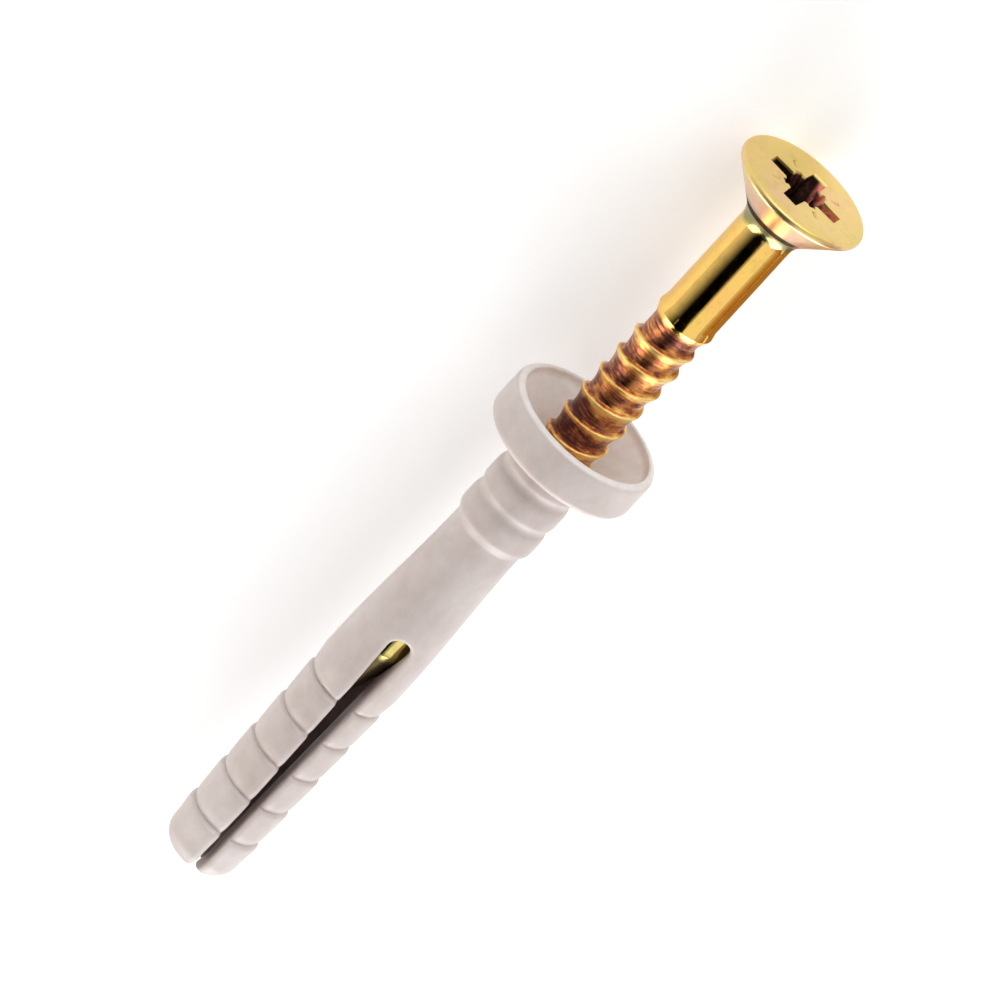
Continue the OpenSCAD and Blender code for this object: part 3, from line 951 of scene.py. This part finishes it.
plug = new_piece("plug_moulding", plug_mesh(), nylon_material(), "plug", "plug")
nail_shape = carved(nail_mesh(), recess_cutters())
soften_recess(nail_shape)
nail = new_piece(
    "nail_screw_steel", nail_shape, zinc_material(), "nail", "nail_screw")
for piece in (plug, nail):
    piece.data.shade_smooth()
    piece.data.set_sharp_from_angle(angle=SMOOTH_BELOW)

# Camera: it looks down on the lying fixing, so that the fixing runs up to the right in the picture
VIEW_TILT = math.radians(25.1)
VIEW_TURN = math.radians(19.5)
PICTURE_ANGLE = math.radians(47.32)
PIXELS_PER_MM = 18.628
FOCAL_PIXELS = 20000
RIM_PIXEL = (588.3, 424.9)
SENSOR_MM = 36
CAMERA_REACH = 10
facing = UPWARD * math.cos(VIEW_TURN) + LEVEL * math.sin(VIEW_TURN)
toward = AXIS * math.sin(VIEW_TILT) + facing * math.cos(VIEW_TILT)
along = AXIS * math.cos(VIEW_TILT) - facing * math.sin(VIEW_TILT)
across = along.cross(toward)
right = along * math.cos(PICTURE_ANGLE) + across * math.sin(PICTURE_ANGLE)
up = along * math.sin(PICTURE_ANGLE) - across * math.cos(PICTURE_ANGLE)
rim_middle = TIP + AXIS * PLUG_LENGTH * MM
pixel = MM / PIXELS_PER_MM
half_width = PHOTO_WIDTH / 2
rim_right = RIM_PIXEL[0] - half_width
rim_up = half_width - RIM_PIXEL[1]
middle = rim_middle - (right * rim_right + up * rim_up) * pixel
camera_data = bpy.data.cameras.new("camera")
camera_data.sensor_width = SENSOR_MM
camera_data.lens = FOCAL_PIXELS / PHOTO_WIDTH * SENSOR_MM
camera_data.clip_end = CAMERA_REACH
camera = bpy.data.objects.new("camera", camera_data)
bpy.context.scene.collection.objects.link(camera)
camera.matrix_world = Matrix((right, up, toward)).transposed().to_4x4()
camera.location = middle + toward * FOCAL_PIXELS * pixel
bpy.context.scene.camera = camera

# White table, curving up far away on all sides, in metres
FLOOR_GLOW = 0.34
TABLE_R = 0.9
TABLE_RING_SHARES = (0.02, 0.25, 0.5, 0.75)
TABLE_COLUMNS = 96
TABLE_SINK = 0.00001
SWEEP_R = 0.5
SWEEP_TURN = math.radians(60)
SWEEP_STEPS = 12
table = bmesh.new()
rings = [(TABLE_R * share, 0) for share in TABLE_RING_SHARES]
rings += [
    (TABLE_R + SWEEP_R * math.sin(a), SWEEP_R * (1 - math.cos(a)))
    for a in spread(0, SWEEP_TURN, SWEEP_STEPS)
]
drawn = lathe(table, rings, TABLE_COLUMNS)
table.faces.new(drawn[0])
bmesh.ops.recalc_face_normals(table, faces=table.faces)
table.transform(Matrix.Translation((0, 0, -TABLE_SINK)))
floor = as_object("white_table", table)
floor.data.materials.append(floor_material())
floor.data.shade_smooth()


# Soft studio light, aimed at the middle of the fixing, in metres and degrees
LAMPS_FACE = Vector((0, 0, 0.005))
CARD_GAP = 0.005
CARD_L = 0.46
CARD_RISE = 0.0002
CARD_RADIANCE = 0.42
TENT_LIGHT = 0.64

# Between which places a panel's glow changes, as shares of its width from its middle
FADE_FROM = 0.5
FADE_TO = -0.4


def facing_place(roll, lean, distance):
    """Where a lamp stands that faces the fixing. Roll is its angle from overhead towards the
    photograph's right, seen along the fixing. Lean is its angle along the fixing, towards the
    head."""
    roll = math.radians(roll)
    lean = math.radians(lean)
    radial = UPWARD * math.cos(roll) - LEVEL * math.sin(roll)
    outward = AXIS * math.sin(lean) + radial * math.cos(lean)
    lengthwise = AXIS * math.cos(lean) - radial * math.sin(lean)
    place = Matrix((lengthwise.cross(outward), lengthwise, outward)).transposed().to_4x4()
    place.translation = LAMPS_FACE + outward * distance
    return place


def softbox(name, roll, lean, distance, width, length, radiance, tint):
    """An evenly lit rectangular lamp."""
    lamp = bpy.data.lights.new(name, "AREA")
    lamp.color = tint
    lamp.shape = "RECTANGLE"
    lamp.size = width
    lamp.size_y = length
    lamp.energy = radiance * math.pi * width * length
    holder = bpy.data.objects.new(name, lamp)
    bpy.context.scene.collection.objects.link(holder)
    holder.matrix_world = facing_place(roll, lean, distance)


def graded_panel(name, place, width, length, radiance, far_radiance, tint):
    """A glowing panel that the fixing mirrors and the camera does not see. Its glow goes from
    radiance on the photograph's left to far_radiance on the right."""
    sheet = bmesh.new()
    bmesh.ops.create_grid(sheet, x_segments=1, y_segments=1, size=0.5)
    sheet.transform(Matrix.Diagonal((width, length, 1, 1)))
    panel = as_object(name, sheet)
    panel.matrix_world = place
    panel.visible_camera = False
    material = bpy.data.materials.new(name)
    material.use_nodes = True
    tree = material.node_tree
    tree.nodes.remove(tree.nodes["Principled BSDF"])
    glow = tree.nodes.new("ShaderNodeEmission")
    glow.inputs["Color"].default_value = (*tint, 1)
    here = tree.nodes.new("ShaderNodeTexCoord")
    parts = tree.nodes.new("ShaderNodeSeparateXYZ")
    fade = tree.nodes.new("ShaderNodeMapRange")
    fade.interpolation_type = "SMOOTHSTEP"
    fade.inputs["From Min"].default_value = width * FADE_FROM
    fade.inputs["From Max"].default_value = width * FADE_TO
    fade.inputs["To Min"].default_value = far_radiance
    fade.inputs["To Max"].default_value = radiance
    tree.links.new(here.outputs["Object"], parts.inputs["Vector"])
    tree.links.new(parts.outputs["X"], fade.inputs["Value"])
    tree.links.new(fade.outputs["Result"], glow.inputs["Strength"])
    tree.links.new(glow.outputs["Emission"], tree.nodes["Material Output"].inputs["Surface"])
    panel.data.materials.append(material)
    return panel


def shank_card_place(gap, length):
    """Where a card lies on the table that the shank's right side mirrors into the camera."""
    outward = Vector((-math.sin(VIEW_TILT), -math.cos(VIEW_TILT), 0))
    overhead = Vector((0, 0, 1))
    place = Matrix((outward.cross(overhead), outward, overhead)).transposed().to_4x4()
    place.translation = TIP + AXIS * (SHANK_Z + SHANK_H / 2) * MM + outward * (gap + length / 2)
    place.translation.z = CARD_RISE
    return place


WHITE = (1, 1, 1)
ORANGE = (1, 0.55, 0.16)
WARM = (1, 0.92, 0.83)
COOL = (0.97, 1, 1.05)

# Lamps, by roll, lean and distance
softbox("key", 27, -20, 0.45, width=0.44, length=0.5, radiance=0.42, tint=WHITE)
softbox("tip_right", 60, -60, 0.5, width=0.34, length=0.34, radiance=4.7, tint=COOL)
softbox("tip_left", -76, -55, 0.5, width=0.26, length=0.36, radiance=4.8, tint=WARM)
softbox("head_fill", 15, 58, 0.5, width=0.4, length=0.3, radiance=1.35, tint=WHITE)
softbox("head_left", -44, 56, 0.5, width=0.3, length=0.3, radiance=1.2, tint=WHITE)

# Panels: a bright one on the left, a black one in the gap, a warm one on the right, and a card on
# the table that only reflections show, for the brown edge of the shank
graded_panel(
    "left", facing_place(-66, -20, 0.5), width=0.56, length=0.6,
    radiance=0.82, far_radiance=0, tint=WHITE)
graded_panel(
    "gap", facing_place(-17, -20, 0.52), width=0.38, length=1.5,
    radiance=0, far_radiance=0, tint=WHITE)
graded_panel(
    "right", facing_place(83, -25, 0.5), width=0.28, length=0.32,
    radiance=0.6, far_radiance=0.2, tint=ORANGE)
card = graded_panel(
    "card", shank_card_place(CARD_GAP, CARD_L), width=SHANK_H * MM, length=CARD_L,
    radiance=CARD_RADIANCE, far_radiance=CARD_RADIANCE, tint=ORANGE)
card.visible_diffuse = False
card.visible_shadow = False

world = bpy.data.worlds.new("white_tent")
bpy.context.scene.world = world
world.use_nodes = True
tent = world.node_tree.nodes["Background"]
tent.inputs["Color"].default_value = (1, 1, 1, 1)
tent.inputs["Strength"].default_value = TENT_LIGHT

bpy.context.scene.view_settings.view_transform = "Standard"
